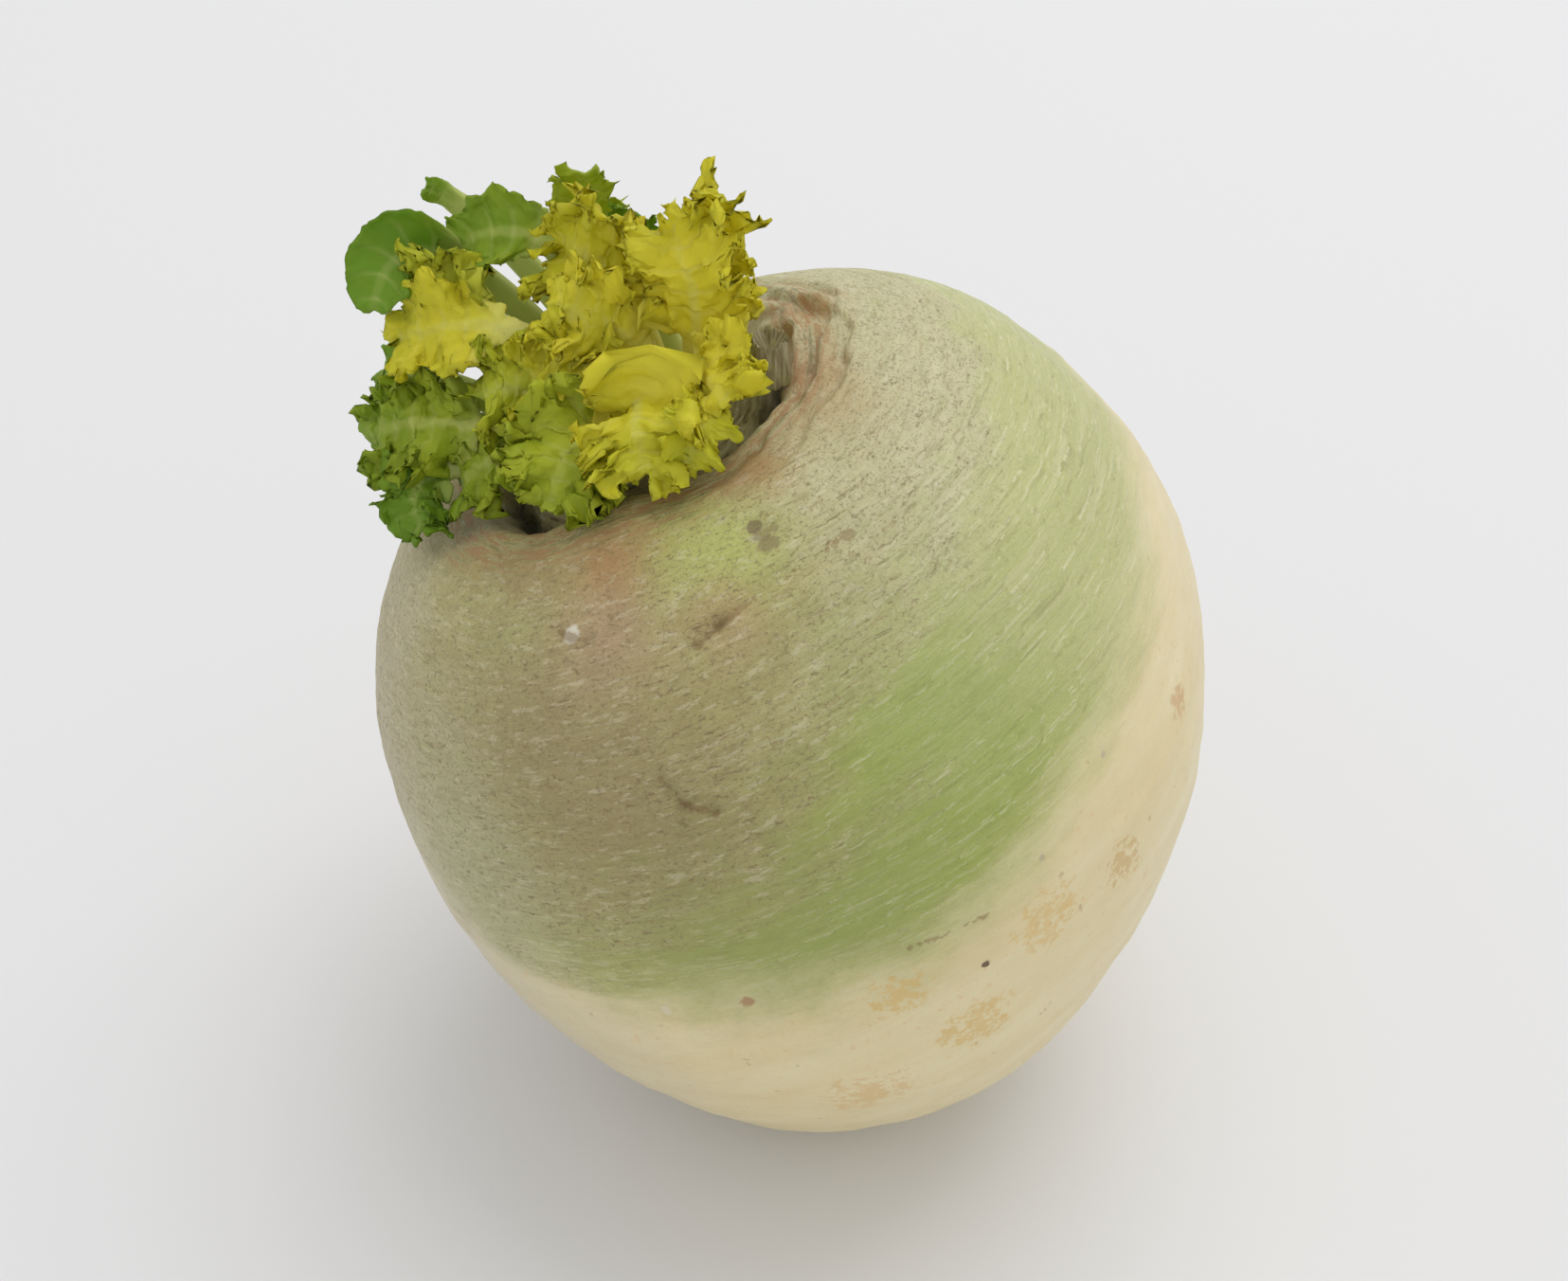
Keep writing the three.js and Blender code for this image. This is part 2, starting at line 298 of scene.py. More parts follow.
def growBulb():
    curve = splinePoints(profile, 1200)
    split = np.argmax(curve[:, 1] > bulb["crownStart"])
    body = evenly(curve[:split], bulb["alongBody"])
    crown = evenly(curve[split:], bulb["alongCrown"])
    rows = np.vstack([body, crown])[1:-1]
    around = bulb["around"]
    angle = np.arange(around) * 2 * np.pi / around
    radius = np.repeat(rows[:, 0], around)
    height = np.repeat(rows[:, 1], around)
    turn = np.tile(angle, len(rows))
    radius = np.r_[radius, 0, 0]
    height = np.r_[height, profile[0, 1], profile[-1, 1]]
    turn = np.r_[turn, 0, 0]
    swell = (0.7 * np.sin(2 * turn + 0.7 + height * 0.02) + 0.45 * np.sin(3 * turn - 1.1 + height * 0.05)
             + 0.25 * np.sin(5 * turn + height * 0.11))
    wide = radius + swell * np.minimum(radius / 40, 1)
    ring, furrow = bell(radius - 25, 6), bell(radius - 19, 3)
    fold = ring * (0.8 * np.sin(3 * turn + 0.5) + 0.4 * np.sin(7 * turn))
    fold = fold + furrow * 0.6 * np.sin(4 * turn + 2)
    lift = np.where(height > 40, fold, 0)
    sway = (np.maximum(-height, 0) / 48) ** 1.5
    swayX, swayY = bulb["tailSway"]
    across = wide * np.cos(turn) + swayX * sway
    deep = wide * np.sin(turn) + swayY * sway
    plain = np.stack([across, deep, height + lift], 1)
    return plain, closedRings(len(rows), around), radius, turn, height


def makeBulb(material):
    plain, faces, radius, turn, height = growBulb()
    out = plain / np.maximum(np.linalg.norm(plain, axis=1), 1)[:, None]
    inward = -np.stack([np.cos(turn), np.sin(turn), 0 * turn], 1)
    crownMask = 1 / (1 + np.exp(-(height - 40) / 2))
    front = bell(np.angle(np.exp(1j * (turn + 1.2))), 1.3)
    right = bell(np.angle(np.exp(1j * (turn - 0.1))), 0.9)
    # fine rings and dents of the skin
    rings = cloud(plain * (0.25, 0.25, 1.6), 3.2, 1) * bulb["ridgeDepth"]
    dents = cloud(plain, 16, 2) * 0.4 + cloud(plain, 5, 7) * 0.12
    moved = plain + out * (rings + dents)[:, None]
    # wrinkled tissue inside the lip, with the folds that circle it
    inside = crownMask / (1 + np.exp((radius - 21.2) / 0.6))
    bend = cloud(plain, 9, 4)
    moved[:, 2] += inside * (cloud(plain, 6, 3) * 0.9 + np.sin(radius * 1.9 + 3 * bend) * 0.35)
    wander = 1.5 * cloud(plain, 14, 5) + 0.5 * cloud(plain, 5, 6)
    moved += inward * (crownMask * bell(radius - 21.5, 5) * wander)[:, None]
    # the lip stands proud in front, and a second fold runs outside it on the right
    lip = front * 0.5 * bell(radius - 22.8, 1.8) - front * 0.6 * bell(radius - 19.6, 1.4)
    moved[:, 2] += crownMask * lip
    fold = radius - 26 - 2.2 * bend
    moved[:, 2] += crownMask * right * (1.0 * bell(fold - 1.6, 1.2) - 1.5 * bell(fold, 0.8))
    outer = radius - 30 - 2.5 * cloud(plain, 11, 12)
    moved[:, 2] += crownMask * right * (0.5 * bell(outer - 1.3, 1.2) - 0.9 * bell(outer, 0.7))
    moved[:, 2] += crownMask * right * 0.8 * np.sin(radius * 1.6 + 5 * bend) * bell(radius - 22, 3.5)
    for x, y, z, wide, deep in bulb["dents"]:
        moved -= out * (deep * bell(np.linalg.norm(plain - (x, y, z), axis=1), wide))[:, None]
    for start, end, wide, deep in bulb["cracks"]:
        a, b = np.array(start), np.array(end)
        share = np.clip(((plain - a) @ (b - a)) / ((b - a) @ (b - a)), 0, 1)
        away = np.linalg.norm(plain - a - share[:, None] * (b - a), axis=1) + 0.5 * cloud(plain, 3, 8)
        moved -= out * (deep * bell(away, wide) - 0.5 * deep * bell(away - 2 * wide, wide))[:, None]
    world = np.array([(lean @ Vector(p))[:] for p in moved])
    plainWorld = np.array([(lean @ Vector(p))[:] for p in plain])
    low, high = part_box("root")
    low, high = np.array(low) / millimetre, np.array(high) / millimetre
    shift = (low + high) / 2 - (plainWorld.min(0) + plainWorld.max(0)) / 2
    shift[2] = high[2] - plainWorld[:, 2].max()
    world += shift
    world[:, 2] = np.maximum(world[:, 2], 0)
    # distance run down the skin from the crown, with the turn kept as a circle so it has no seam
    down = np.arctan2(radius, height)
    circle = np.stack([np.cos(turn), np.sin(turn), down], 1)
    seats = {"grown": plain, "skinMap": bulb["widest"] * circle}
    return newPiece("radishBulb", world * millimetre, faces, seats, material), shift


# x, y, z and size in mm in the bulb's own frame, colour, strength
skinLook = {
    "tints": [
        (-8, -50, 28, 19, (0.31, 0.24, 0.11), 0.6),
        (-16, -40, 41, 13, (0.33, 0.26, 0.13), 0.5),
        (7, -31, 50.5, 8, (0.50, 0.52, 0.16), 0.9),
        (13, -33.5, 48.3, 7, (0.48, 0.52, 0.15), 0.9),
        (-2, -31, 52, 5.5, (0.44, 0.24, 0.09), 0.85),
        (-4, -38, 47.5, 6.5, (0.48, 0.30, 0.20), 0.6),
        (10, -40, 44.5, 5, (0.46, 0.28, 0.16), 0.55),
        (-16, -30, 50, 6, (0.44, 0.46, 0.20), 0.5),
        (28.7, -45, 23, 15, (0.31, 0.39, 0.10), 0.5),
        (10, -56, 10, 14, (0.29, 0.34, 0.10), 0.45),
        (-9, -56, 10, 10, (0.30, 0.34, 0.10), 0.4),
        (27, -14, 50, 5, (0.50, 0.33, 0.15), 0.6),
        (24.6, 7.1, 52, 4, (0.44, 0.23, 0.09), 0.75),
        (25.4, -6.8, 51.5, 4, (0.46, 0.25, 0.10), 0.7),
        (18, -23.5, 51.5, 4, (0.44, 0.24, 0.09), 0.7),
        (-14, -27, 51, 5, (0.36, 0.25, 0.11), 0.6),
        (-33, -38, 22, 13, (0.42, 0.45, 0.22), 0.45),
    ],
    "marks": [
        (16.2, -31.0, 49.3, 1.3, (0.22, 0.17, 0.08), 0.8),
        (17.2, -33.2, 47.4, 1.5, (0.26, 0.20, 0.10), 0.7),
        (16.0, -32.4, 48.5, 0.9, (0.50, 0.46, 0.31), 0.7),
        (18.4, -31.6, 48.2, 0.8, (0.30, 0.23, 0.12), 0.6),
        (16.8, -32.0, 48.4, 1.4, (0.28, 0.22, 0.11), 0.6),
        (19.4, -52.5, -9.2, 0.7, (0.16, 0.10, 0.05), 1.0),
        (13.6, -50.8, -20.1, 7, (0.70, 0.46, 0.13), 0.6),
        (8.4, -55.7, -6.1, 5.5, (0.70, 0.47, 0.14), 0.6),
        (28, -48, -9, 7, (0.72, 0.48, 0.15), 0.55),
        (38, -40, -12, 5, (0.62, 0.40, 0.14), 0.65),
        (50, -24, -3, 4, (0.62, 0.38, 0.18), 0.75),
        (-4, -52, -26, 8, (0.70, 0.46, 0.18), 0.6),
        (-8.4, -36.7, 48.1, 1.3, (0.74, 0.69, 0.56), 0.9),
        (-18.9, -54, 2.4, 0.9, (0.70, 0.64, 0.46), 0.8),
        (-7.9, -56.5, 1.8, 1.0, (0.40, 0.22, 0.10), 0.8),
        (42, -38.5, 4.6, 0.6, (0.55, 0.46, 0.30), 0.8),
        (31.3, -48.1, 0.5, 0.6, (0.50, 0.44, 0.28), 0.8),
    ],
}


def skinMaterial():
    m, tree = newMaterial("radishSkin")
    at = attribute(tree, "grown", "Vector")
    band = attribute(tree, "skinMap", "Vector")
    x, y, z = at.parts()
    radius = (x * x + y * y) ** 0.5

    patchy = grain(tree, at, 0.22, 4)
    broad = grain(tree, at, 0.045, 3)
    streak = grain(tree, band * (0.14, 0.14, 1.0) + (patchy - 0.5) * 2.0, 1.1, 3, 0.65)
    longStreak = grain(tree, band * (0.05, 0.05, 1.0) + (patchy - 0.5) * 1.2, 0.8, 4, 0.7)
    hairline = grain(tree, band * (0.055, 0.055, 1.0) + (patchy - 0.5) * 1.5, 2.4, 3, 0.65)
    fine = grain(tree, at, 1.6, 4, 0.7)
    torn = grain(tree, at, 0.7, 3, 0.7)
    flecks = grain(tree, band * (0.22, 0.22, 1.0) + (patchy - 0.5) * 3.0, 1.9, 4, 0.75)
    paleFlecks = grain(tree, band * (0.2, 0.2, 1.0) + (31.0, 7.0, 3.0), 1.3, 3, 0.7)
    wash = grain(tree, band * (0.3, 0.3, 1.0), 0.16, 4, 0.6)

    def spot(px, py, pz, size, rough=0.35):
        ragged = patchy * 0.6 + fine * 0.4 if size > 4 else torn
        return ((at - (px, py, pz)).size() * (1.0 - 2.0 * rough + 4.0 * rough * ragged)).bell(size)

    # cream below, green above, along an uneven line
    edge = 19.0 + 0.35 * y.most(22.0) - 0.12 * x.most(0.0)
    above = z - edge + (broad - 0.5) * 12.0 + (wash - 0.5) * 14.0 + (streak - 0.5) * 4.0
    green = above.ramp(-5.0, 9.0)
    cream = (wash * 1.6 - 0.3).held().blend((0.84, 0.75, 0.48), (0.74, 0.61, 0.32))
    fresh = (longStreak * 1.8 - 0.4).held().blend((0.32, 0.40, 0.065), (0.46, 0.50, 0.15))
    # painted light: the fresh green is made paler towards the lit right side and the top
    paintedLitSide = ((x - 22.0) * 0.03 + (z - 18.0) * 0.03 + (wash - 0.5) * 0.8).held().most(0.7)
    fresh = paintedLitSide.blend(fresh, (0.60, 0.60, 0.30))
    colour = green.blend(cream, fresh)
    # greyed, russeted shoulders, made paler towards the right and back by painted light
    uneven = (wash - 0.5) * 26.0 + (patchy - 0.5) * 16.0
    shoulder = (above + uneven - x * 0.36 + (z - 36.0).least(0.0) * 1.3).ramp(10.0, 28.0)
    dull = (patchy * 0.5 + wash * 0.6 + (fine - 0.5) * 0.7).held()
    dull = dull.blend((0.32, 0.265, 0.10), (0.57, 0.50, 0.24))
    # painted light: the shoulders turn paler towards the right and back, where the key light falls
    paintedLitRight = (x * 0.03 + y * 0.012 + 0.25 + (broad - 0.5) * 1.2).held()
    dull = paintedLitRight.blend(dull, (0.62, 0.58, 0.36))
    colour = (shoulder * 0.85).blend(colour, dull)
    left = (-x * 0.04 - 0.9 + (broad - 0.5)).held()
    colour = (left * 0.75).blend(colour, (0.58, 0.52, 0.38))
    # fresh green showing again in patches
    showing = ((wash - 0.56) * 7.0).held() * shoulder * 0.6
    colour = showing.blend(colour, (0.44, 0.47, 0.17))
    # long pale and dark streaks round the bulb
    colour = (((longStreak - 0.54) * 8.0).held() * 0.30 * green).blend(colour, (0.72, 0.68, 0.46))
    colour = (((0.45 - streak) * 8.0).held() * 0.34 * green).blend(colour, (0.22, 0.21, 0.07))
    scratch = ((hairline - 0.58) * 14.0).held() * 0.6 * green * (1.0 - 0.65 * shoulder)
    colour = scratch.blend(colour, (0.78, 0.75, 0.50))
    # stains on the cream
    stain = ((torn - 0.57) * 9.0).held() * ((patchy - 0.47) * 6.0).held() * (1.0 - green)
    colour = (stain * 0.5).blend(colour, (0.72, 0.46, 0.18))
    freckle = ((grain(tree, at + (9.0, 0.0, 0.0), 0.5, 2) - 0.70) * 14.0).held() * (1.0 - green * 0.7)
    colour = (freckle * 0.5).blend(colour, (0.42, 0.26, 0.12))
    # warm tints near the crown
    for px, py, pz, size, tint, share in skinLook["tints"]:
        colour = (spot(px, py, pz, size) * share).blend(colour, tint)
    # short brown and pale flecks, thickest on the shoulders
    rust = shoulder * 0.75 + green * 0.2 + 0.04
    crowd = (patchy + wash - 0.55).held() + 0.35
    fleck = (((0.44 - flecks) * 10.0).held() * rust * crowd).most(0.75)
    colour = fleck.blend(colour, (0.20, 0.14, 0.06))
    scuff = grain(tree, band * (0.10, 0.10, 1.0) + (patchy - 0.5) * 3.0 + (4.0, 8.0, 51.0), 1.5, 5, 0.8)
    colour = (((scuff - 0.52) * 7.0).held() * shoulder * 0.45).blend(colour, (0.38, 0.27, 0.13))
    colour = (((0.44 - scuff) * 7.0).held() * shoulder * 0.35).blend(colour, (0.66, 0.60, 0.38))
    paleFleck = (((paleFlecks - 0.58) * 10.0).held() * rust * crowd).most(0.28)
    colour = paleFleck.blend(colour, (0.76, 0.70, 0.50))
    speck = grain(tree, band * (0.6, 0.6, 1.0) + (3.0, 70.0, 11.0), 2.6, 2, 0.6)
    colour = (((0.44 - speck) * 9.0).held() * rust * 0.6).blend(colour, (0.25, 0.19, 0.09))
    for px, py, pz, size, tint, share in skinLook["marks"]:
        near = (spot(px, py, pz, size, 0.42) - 0.3) * 3.0
        worn = near + (torn - 0.6) * 9.0 if size > 2 else near
        colour = ((near.held() * worn.held()) * share).blend(colour, tint)
    # dark, healed cracks
    for start, end, wide, deep in bulb["cracks"]:
        run = Vector(end) - Vector(start)
        share = ((at - start).dot(tuple(run)) / run.length_squared).held()
        gap = (at - start - share * tuple(run)).size() + (torn - 0.5) * 2.2
        healed = ((0.2 + 0.35 * wide - gap.abs()) * 4.0).held().most(0.55)
        colour = healed.blend(colour, (0.28, 0.18, 0.07))
    # collar, lip and furrow of the crown, with painted shadow in the furrow
    ringStreak = grain(tree, band * (0.06, 0.06, 1.0), 1.6, 3, 0.6)
    high = z.ramp(44.0, 47.0)
    collar = (radius - 25.5 + (wash - 0.5) * 8.0).bell(4.0) * high
    colour = (collar * ((ringStreak - 0.44) * 7.0).held() * 0.85).blend(colour, (0.40, 0.22, 0.09))
    colour = (collar * ((0.47 - ringStreak) * 8.0).held() * 0.6).blend(colour, (0.20, 0.16, 0.06))
    within = (21.3 - radius + (patchy - 0.5) * 1.5).ramp(-0.9, 0.9) * high
    tissue = patchy.blend((0.22, 0.18, 0.07), (0.42, 0.37, 0.17))
    tissue = (((ringStreak - 0.52) * 8.0).held() * 0.6).blend(tissue, (0.56, 0.52, 0.30))
    tissue = (((0.45 - ringStreak) * 10.0).held() * 0.8).blend(tissue, (0.09, 0.065, 0.025))
    colour = within.blend(colour, tissue)
    # painted shadow: the furrow inside the lip is coloured near black
    furrow = (radius - 19.4 + (patchy - 0.5) * 2.4).bell(1.1) * high
    colour = (furrow * 0.9).held().blend(colour, (0.035, 0.026, 0.010))

    lumpy = (hairline * 0.35 + streak * 0.5 + flecks * 0.5 * rust + fine * 0.25) * (0.35 + 0.65 * green)
    lumpy = lumpy + within * (patchy * 1.5 + fine * 0.8 + ringStreak)
    normal = bumped(tree, lumpy, 0.0005, 0.9)
    rough = 0.40 + 0.16 * shoulder + 0.18 * within + (fine - 0.5) * 0.2
    surface = add(tree, "ShaderNodeBsdfPrincipled", {}, {
        "Base Color": colour, "Roughness": rough, "Normal": normal, "IOR": 1.42,
        "Subsurface Weight": 0.12, "Subsurface Radius": (0.006, 0.004, 0.002), "Subsurface Scale": 1.0})
    finishMaterial(tree, surface)
    return m


leafLook = {
    "across": 29,
    "along": 140,
    "bladeThick": 0.5,
    "stalkThick": 2.9,
    "scale": 0.94,
    "tipHalfWidth": 0.7,
    "toothSpacing": 1.8,
    "toothDepth": 0.95,
    "sideVeins": 9,
    "ribHalfWidth": 0.95,
    "glowShare": 0.38,
    "firstSeed": 1.0,
    "seedStep": 0.37,
}
# path in mm from the crown: foot, knee, tip, and the way the blade looks;
# then half breadth, stalk share, cup, frill, waves, and tone from yellow to green
leaves = {
    "leaf_front_frill": [
        (-1, -7, -1), (2, -18, 16), (-8, -24, 5), (-0.1, -0.9, 0.4),
        8, 0.3, -0.4, 1.1, 3.5, 0.55],
    "leaf_front_yellow": [
        (4, -6, -1), (10, -22, 18), (6, -26, 5), (0.1, -0.9, 0.4),
        7.6, 0.2, -0.3, 1.0, 3, 0.15],
    "leaf_hanging_narrow": [
        (9, -5, -1), (20, -24, 13), (11, -25, 3), (0.6, -0.7, 0.4),
        3.4, 0.35, 0.9, 0.3, 3, 0.3],
    "leaf_right_star": [
        (9, -2, -1), (16, -18, 15), (19, -21, 7), (0.1, -0.8, 0.6),
        6.2, 0.4, -0.3, 0.9, 3, 0.0],
    "leaf_centre_spoon": [
        (1, -4, -1), (-3, -12, 14), (-8, -6, 15), (-0.3, -0.8, 0.5),
        5, 0.45, 0.5, 0.8, 2.5, 0.2],
    "leaf_centre_heart": [
        (3, -2, -1), (5, -13, 17), (-3, -8, 16), (0, -0.8, 0.6),
        5, 0.4, 0.4, 0.9, 2.5, 0.1],
    "leaf_middle_ruffle": [
        (-4, -3, -1), (-7, -11, 20), (-15, -6, 14), (-0.2, -0.7, 0.7),
        6, 0.4, -0.4, 1.1, 3, 0.42],
    "leaf_left_arch": [
        (-5, -5, -1), (-14, -13, 12), (-24, -8, 4), (-0.2, -0.5, 0.8),
        4.5, 0.4, -0.4, 0.8, 2.5, 0.68],
    "leaf_left_curl": [
        (-9, -4, -1), (-32, -4, 13), (-31, -11, 2), (-0.3, -0.7, 0.6),
        4.2, 0.45, 0.5, 0.8, 2.5, 0.95],
    "leaf_left_big": [
        (-8, -1, -1), (-20, -11, 19), (-36, 3, 12), (-0.1, -0.7, 0.7),
        7, 0.35, -0.3, 1.1, 3.5, 0.72],
    "leaf_left_thorn": [
        (-9, 2, -1), (-26, 5, 19), (-32, 12, 16), (0, -0.6, 0.8),
        2.8, 0.5, 0.3, 0.4, 2, 0.9],
    "leaf_left_skirt": [
        (-6, 3, -1), (-10, -2, 29), (-21, 6, 25), (-0.2, -0.8, 0.6),
        7, 0.45, -0.4, 1.1, 3, 0.3],
    "leaf_left_spoon": [
        (-1, 2, -1), (-2, -6, 27), (-25, 3, 23), (0.1, -0.7, 0.7),
        5.6, 0.55, 0.5, 0.7, 3, 0.08],
    "leaf_centre_fan": [
        (5, 1, -1), (14, -13, 16), (0, -5, 22), (-0.1, -0.9, 0.5),
        6.4, 0.5, 0.4, 1.0, 3, 0.0],
    "leaf_right_bright": [
        (8, 1, -1), (20, -16, 13), (20, -5, 26), (-0.3, -1, 0.2),
        7.4, 0.4, 0.4, 0.9, 3, 0.02],
    "leaf_right_tall": [
        (12, 4, -1), (22, -1, 9), (26, -2, 26), (-0.7, -0.7, 0.2),
        5.4, 0.4, 0.5, 1.0, 3, 0.05],
    "leaf_crinkled": [
        (4, 5, -1), (12, -3, 22), (2, 6, 26), (-0.2, -0.9, 0.4),
        7.5, 0.4, 0.3, 1.2, 4, 0.12],
    "leaf_dark_tips": [
        (7, 9, -1), (6, 16, 15), (13, 8, 23), (-0.2, -1, 0.1),
        4, 0.5, 0.4, 0.5, 2, 0.85],
    "leaf_pale_top": [
        (3, 11, -1), (2, 22, 18), (7, 16, 29), (-0.2, -1, 0.1),
        3.8, 0.5, 0.4, 0.4, 2, 0.6],
    "leaf_back_broad": [
        (1, 9, -1), (6, 8, 34), (-14, 11, 28), (0, -0.8, 0.6),
        5.5, 0.5, 0.4, 0.4, 2.5, 0.8],
    "leaf_round_green": [
        (-4, 6, -1), (-14, 17, 42), (-25, 4, 28), (-0.2, -0.9, 0.4),
        6.5, 0.45, 0.6, 0.1, 1, 1.0],
    "stalk_torn": [
        (-2, 11, -1), (-9, 22, 28), (-15, 20, 35), (0, -1, 0.2),
        1.9, 0.8, 0.3, 0.1, 1, 0.8],
}
smoothEdged = ("leaf_back_broad", "leaf_round_green", "stalk_torn")


def leafTree(material):
    tree = bpy.data.node_groups.new("frilledLeaf", "GeometryNodeTree")
    panel = tree.interface
    panel.new_socket("Geometry", in_out="OUTPUT", socket_type="NodeSocketGeometry")
    panel.new_socket("Geometry", in_out="INPUT", socket_type="NodeSocketGeometry")
    for name in ("Foot", "Knee", "Tip", "Face"):
        panel.new_socket(name, in_out="INPUT", socket_type="NodeSocketVector")
    for name in ("Half Breadth", "Stalk Share", "Cup", "Frill", "Waves", "Tone", "Tooth Depth", "Seed"):
        panel.new_socket(name, in_out="INPUT", socket_type="NodeSocketFloat")
    given = add(tree, "NodeGroupInput", {}, {}).out.node.outputs
    foot, knee, tip, look, wide, stalk, cup, frill, waves, tone, depth, seed = [
        Sock(tree, o) for o in given[1:13]]
    box = add(tree, "GeometryNodeMeshCube", {}, {
        "Size": (2, 1, 1), "Vertices X": leafLook["across"], "Vertices Y": leafLook["along"]})
    # v runs across, u along from the foot, and side is the upper or the lower face
    v, fromMiddle, side = add(tree, "GeometryNodeInputPosition", {}, {}).parts()
    u = fromMiddle + 0.5
    t = u * (1.3 - 0.3 * u)
    length = (tip - foot).dot(tip - foot) ** 0.5 * 1.12

    def half(s):
        b = ((s - stalk) / (1.0 - stalk)).held()
        base = 1.5 + 0.6 * (1.0 - s)
        wander = 17.0 * b + 4.0 * (b * 5.0 + seed).sin() + seed * 3.0
        lobes = 1.0 - (0.15 + 0.3 * frill) * (1.1 - b) * (0.5 + 0.5 * wander.cos())
        rounded = ((b ** 0.85) * 3.1416).sin().least(0.0) ** 0.6
        tail = base + (leafLook["tipHalfWidth"] - base) * b
        return tail + (wide - tail).least(0.0) * rounded * lobes

    reach = half(t)
    slope = (half(t + 0.01) - half(t - 0.01)) / (length * 0.02)
    steep = (1.0 + slope * slope) ** 0.5
    blade = ((t - (stalk - 0.08)) / 0.19).held()
    edge = v.abs()
    sideSign = v.sign()
    # lobes and teeth stand out square to the leaf's outline
    run = t * length / leafLook["toothSpacing"] + seed * 3.1 + sideSign * 0.37

    def drift(speed, shift):
        along = run * speed + sideSign * shift + seed * 5.0
        wave = add(tree, "ShaderNodeTexNoise", {"noise_dimensions": "1D"}, {"W": along, "Scale": 1.0})
        return wave - 0.5

    jitter = drift(0.45, 7.0)
    saw = ((run + jitter * 2.6).wrap() - 0.5).abs() * 2.0
    notch = ((run * 0.31 + drift(0.2, 3.0) * 2.0).wrap() - 0.5).abs() * 2.0
    tooth = saw ** 1.2 * (0.6 + drift(0.9, 11.0) * 2.2) + notch * 2.2 + drift(2.3, 5.0) * 2.0
    tooth = tooth * depth * blade * edge ** 4.0
    # rows sweep forward towards the edge, as the side veins do
    x = v * reach
    forward = edge * edge * reach * 0.45
    bend = cup / wide
    angle = bend * x
    across = angle.sin() / bend
    curl = (1.0 - angle.cos()) / bend
    phase = 6.2832 * waves * t + seed * 2.0 + sideSign * 0.9
    phase = phase + drift(0.25, 2.0) * 5.0
    slow, middling, quick = phase.sin(), (phase * 2.7).sin() * 0.7, (phase * 5.3).sin() * 0.4
    ruffle = (slow * edge ** 2.0 + middling * edge ** 3.0 + quick * edge ** 4.0) * frill * 2.1 * blade
    vein = ((u * leafLook["sideVeins"]).wrap() - 0.5).bell(0.09)
    pucker = (1.0 - vein) * 0.16 * blade * (edge * 3.1416).sin()
    ribHere = (x / leafLook["ribHalfWidth"]).bell(1.0)
    rib = ribHere * (1.05 - t)
    thick = leafLook["stalkThick"] * (1.0 - 0.85 * v * v).least(0.0) ** 0.5
    thin = leafLook["bladeThick"] * (1.0 + 3.2 * rib) * (1.0 - 0.55 * edge ** 4.0)
    depthHere = thick + (thin - thick) * blade
    # along the path
    back = 1.0 - t
    place = foot * (back * back) + knee * (2.0 * back * t) + tip * (t * t)
    heading = ((knee - foot) * back + (tip - knee) * t).unit()
    sideways = heading.cross(look).unit()
    up = sideways.cross(heading)
    point = (place + sideways * (across + sideSign * tooth / steep)
             + heading * (forward - slope * tooth / steep)
             + up * (curl + ruffle + pucker + side * depthHere))
    crinkle = add(tree, "ShaderNodeTexNoise", {}, {"Vector": point, "Scale": 0.38, "Detail": 3.0}, 1)
    point = point + (crinkle - (0.5, 0.5, 0.5)) * ((2.4 + 4.6 * edge * edge) * blade * (0.2 + frill))
    # what the material reads, kept on the flat box before it is bent
    marks = {
        "leafEdge": v, "leafRun": t, "leafTone": tone,
        "leafVein": vein, "leafRib": ribHere, "leafBlade": blade}
    made = box
    for name, value in marks.items():
        made = add(tree, "GeometryNodeStoreNamedAttribute", {"data_type": "FLOAT", "domain": "POINT"},
                   {"Geometry": made, "Name": name, "Value": value})
    moved = add(tree, "GeometryNodeSetPosition", {}, {"Geometry": made, "Position": point})
    smooth = add(tree, "GeometryNodeSetShadeSmooth", {}, {"Geometry": moved})
    real = add(tree, "GeometryNodeRealizeInstances", {}, {"Geometry": smooth})
    done = add(tree, "GeometryNodeSetMaterial", {}, {"Geometry": real, "Material": material})
    add(tree, "NodeGroupOutput", {}, {0: done})
    return tree


# the light each kind of blade lets through
leafGlow = {
    "leaf_smooth_green": (0.20, 0.42, 0.03),
    "leaf_frilled_green": (0.33, 0.50, 0.03),
    "leaf_frilled_lime": (0.55, 0.62, 0.04),
    "leaf_frilled_yellow": (0.86, 0.77, 0.05),
}


